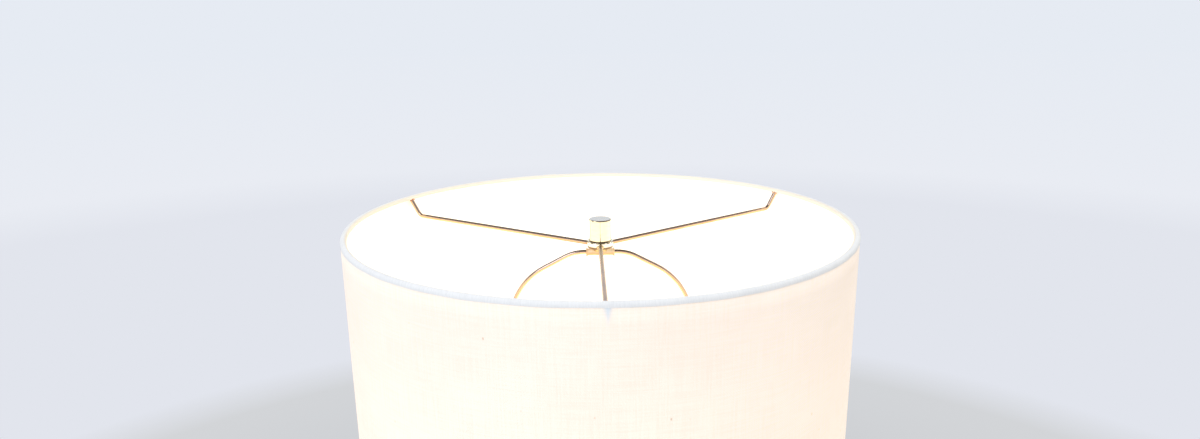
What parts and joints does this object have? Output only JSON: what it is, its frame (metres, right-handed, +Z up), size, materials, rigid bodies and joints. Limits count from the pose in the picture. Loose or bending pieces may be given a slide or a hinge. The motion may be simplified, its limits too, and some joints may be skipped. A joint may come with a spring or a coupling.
{
  "type": "table lamp",
  "caption": "Table lamp with a straight drum shade on a brass spider and harp, over three splayed wooden legs.",
  "frame": {"origin": "on the floor, under the middle of the shade", "axes": "+Z up through pipe, harp and finial; -Y is the front, where one arm and one leg point"},
  "size_m": [0.33, 0.33, 0.61],
  "materials": {
    "linen": "plain woven linen, lit from inside",
    "shade_liner": "translucent white styrene",
    "trim_tape": "rolled white fabric band",
    "ring_steel": "white coated steel wire",
    "polished_brass": "polished and lacquered",
    "satin_brass": "satin, fine turning marks",
    "plated_steel": "zinc plated",
    "walnut": "oiled walnut, grain along the leg",
    "black_rubber": "moulded",
    "black_plastic": "moulded phenolic",
    "fibre_sleeve": "pressed fibre",
    "frosted_glass": "white inside coating",
    "clear_glass": "clear",
    "cap_aluminium": "rolled thread",
    "filament_wire": "fine drawn wire"
  },
  "bodies": {
    "base": {"hub": "satin_brass", "leg_front": "walnut", "leg_right": "walnut", "leg_left": "walnut", "leg_bolts": "plated_steel", "ferrule_front": "polished_brass", "ferrule_right": "polished_brass", "ferrule_left": "polished_brass", "foot_pad_front": "black_rubber", "foot_pad_right": "black_rubber", "foot_pad_left": "black_rubber", "lamp_pipe": "plated_steel", "neck": "polished_brass", "check_ring": "polished_brass", "hub_washer": "plated_steel", "lock_washer": "plated_steel", "pipe_nut": "plated_steel", "cord_bushing": "black_plastic", "harp_saddle": "satin_brass", "socket_cap": "polished_brass", "cap_set_screw": "plated_steel", "socket_shell": "polished_brass", "socket_insulator": "fibre_sleeve", "socket_interior": "black_plastic", "screw_shell": "cap_aluminium", "centre_contact": "satin_brass", "terminal_screws": "plated_steel"},
    "switch": {"switch_shaft": "satin_brass", "switch_knob": "polished_brass"},
    "bulb_contact": {"bulb_tip": "plated_steel"},
    "bulb": {"bulb_globe": "frosted_glass", "bulb_cap": "cap_aluminium", "bulb_insulator": "black_plastic", "bulb_stem": "clear_glass", "bulb_filament": "filament_wire"},
    "harp": {"harp_wire": "polished_brass", "harp_clip": "polished_brass", "harp_stud": "satin_brass"},
    "left_sleeve": {"harp_sleeve_left": "polished_brass"},
    "right_sleeve": {"harp_sleeve_right": "polished_brass"},
    "shade": {"shade_fabric": "linen", "shade_liner": "shade_liner", "top_ring": "ring_steel", "bottom_ring": "ring_steel", "top_trim": "trim_tape", "bottom_trim": "trim_tape", "spider_hub": "polished_brass", "spider_arm_front": "polished_brass", "spider_arm_right": "polished_brass", "spider_arm_left": "polished_brass"},
    "finial_bush": {"finial_insert": "satin_brass"},
    "finial": {"finial": "polished_brass"}
  },
  "joints": [
    {"name": "harp_lift", "type": "slide", "parent": "base", "child": "harp", "axis": [0, 0, 1], "range_m": [0, 0.03]},
    {"name": "left_sleeve_slide", "type": "slide", "parent": "harp", "child": "left_sleeve", "axis": [0, 0, 1], "range_m": [0, 0.008]},
    {"name": "right_sleeve_slide", "type": "slide", "parent": "harp", "child": "right_sleeve", "axis": [0, 0, 1], "range_m": [0, 0.008]},
    {"name": "shade_turn", "type": "hinge", "parent": "harp", "child": "shade", "pos_m": [0, 0, 0.59], "axis": [0, 0, 1], "continuous": true},
    {"name": "finial_rise", "type": "slide", "parent": "harp", "child": "finial_bush", "axis": [0, 0, 1], "range_m": [0, 0.0095]},
    {"name": "finial_turn", "type": "hinge", "parent": "finial_bush", "child": "finial", "pos_m": [0, 0, 0.6], "axis": [0, 0, 1], "range_deg": [0, 3600]},
    {"name": "bulb_rise", "type": "slide", "parent": "base", "child": "bulb_contact", "axis": [0, 0, 1], "range_m": [0, 0.022]},
    {"name": "bulb_turn", "type": "hinge", "parent": "bulb_contact", "child": "bulb", "pos_m": [0, 0, 0.45], "axis": [0, 0, 1], "range_deg": [0, 2160]},
    {"name": "switch_turn", "type": "hinge", "parent": "base", "child": "switch", "pos_m": [0, -0.02, 0.4125], "axis": [0, -1, 0], "continuous": true}
  ],
  "couplings": [
    {"joint": "finial_rise", "follows": "finial_turn", "m_per_rad": 0.00014961},
    {"joint": "bulb_rise", "follows": "bulb_turn", "m_per_rad": 0.00057773}
  ]
}
